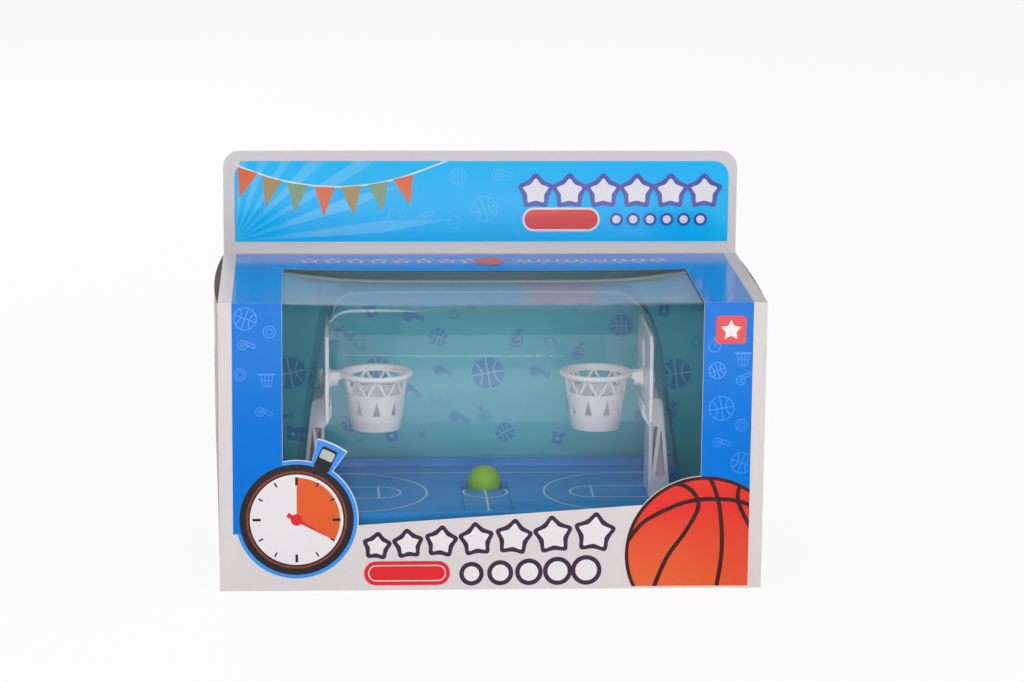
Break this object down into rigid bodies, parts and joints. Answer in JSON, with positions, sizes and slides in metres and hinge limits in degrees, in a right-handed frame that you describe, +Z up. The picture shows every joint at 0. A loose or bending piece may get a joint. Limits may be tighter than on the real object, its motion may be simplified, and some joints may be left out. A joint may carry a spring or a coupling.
{
  "type": "toy basketball game in a window carton",
  "caption": "Two-player finger basketball toy with a clear dome over its court, in a printed window carton with a header card.",
  "frame": {"origin": "centre of the carton's underside", "axes": "+X to the viewer's right along the carton, +Y from the window to the back, +Z up"},
  "size_m": [0.317, 0.155, 0.2295],
  "materials": {
    "printed_board": "gloss varnish",
    "teal_card": "matte print",
    "clear_film": "clear gloss",
    "clear_dome": "clear gloss",
    "court_blue": "satin",
    "dark_blue": "satin",
    "white_plastic": "satin",
    "green_ball": "satin",
    "steel": "plain",
    "foot_rubber": "matte"
  },
  "bodies": {
    "carton_and_toy": {"carton_sleeve": "printed_board", "window_film": "clear_film", "inner_card": "teal_card", "court_base": "court_blue", "centre_plate": "court_blue", "base_cover": "dark_blue", "backboard_left": "white_plastic", "backboard_right": "white_plastic", "stand_left": "white_plastic", "stand_right": "white_plastic", "basket_left": "white_plastic", "basket_right": "white_plastic", "basket_bolt_left": "white_plastic", "basket_bolt_right": "white_plastic", "kicker_pin_left": "steel", "kicker_pin_right": "steel", "kicker_spring_left": "steel", "kicker_spring_right": "steel", "dome_cover": "clear_dome", "foot_1": "foot_rubber", "base_screw_1": "steel", "stand_screw_1": "steel", "foot_2": "foot_rubber", "base_screw_2": "steel", "stand_screw_2": "steel", "foot_3": "foot_rubber", "base_screw_3": "steel", "stand_screw_3": "steel", "foot_4": "foot_rubber", "base_screw_4": "steel", "stand_screw_4": "steel"},
    "left_end_flap": {"end_flap_left": "printed_board"},
    "right_end_flap": {"end_flap_right": "printed_board"},
    "left_kicker": {"kicker_left": "white_plastic"},
    "right_kicker": {"kicker_right": "white_plastic"},
    "ball": {"game_ball": "green_ball"}
  },
  "joints": [
    {"name": "end_flap_right_fold", "type": "hinge", "parent": "carton_and_toy", "child": "right_end_flap", "pos_m": [0.155, 0, 0.00095], "axis": [0, 1, 0], "range_deg": [0, 88]},
    {"name": "end_flap_left_fold", "type": "hinge", "parent": "carton_and_toy", "child": "left_end_flap", "pos_m": [-0.155, 0, 0.00095], "axis": [0, -1, 0], "range_deg": [0, 88]},
    {"name": "kicker_right_press", "type": "hinge", "parent": "carton_and_toy", "child": "right_kicker", "pos_m": [0.048, 0.0142, 0.0228], "axis": [0, 1, 0], "range_deg": [0, 9.5], "stiffness_Nm_per_rad": 0.1, "springref_deg": -17.19, "deforming": ["kicker_spring_right"]},
    {"name": "kicker_left_press", "type": "hinge", "parent": "carton_and_toy", "child": "left_kicker", "pos_m": [-0.048, 0.0142, 0.0228], "axis": [0, -1, 0], "range_deg": [0, 9.5], "stiffness_Nm_per_rad": 0.1, "springref_deg": -17.19, "deforming": ["kicker_spring_left"]},
    {"name": "ball_lift", "type": "slide", "parent": "carton_and_toy", "child": "ball", "axis": [0, 0, 1], "range_m": [0, 0.1]}
  ]
}
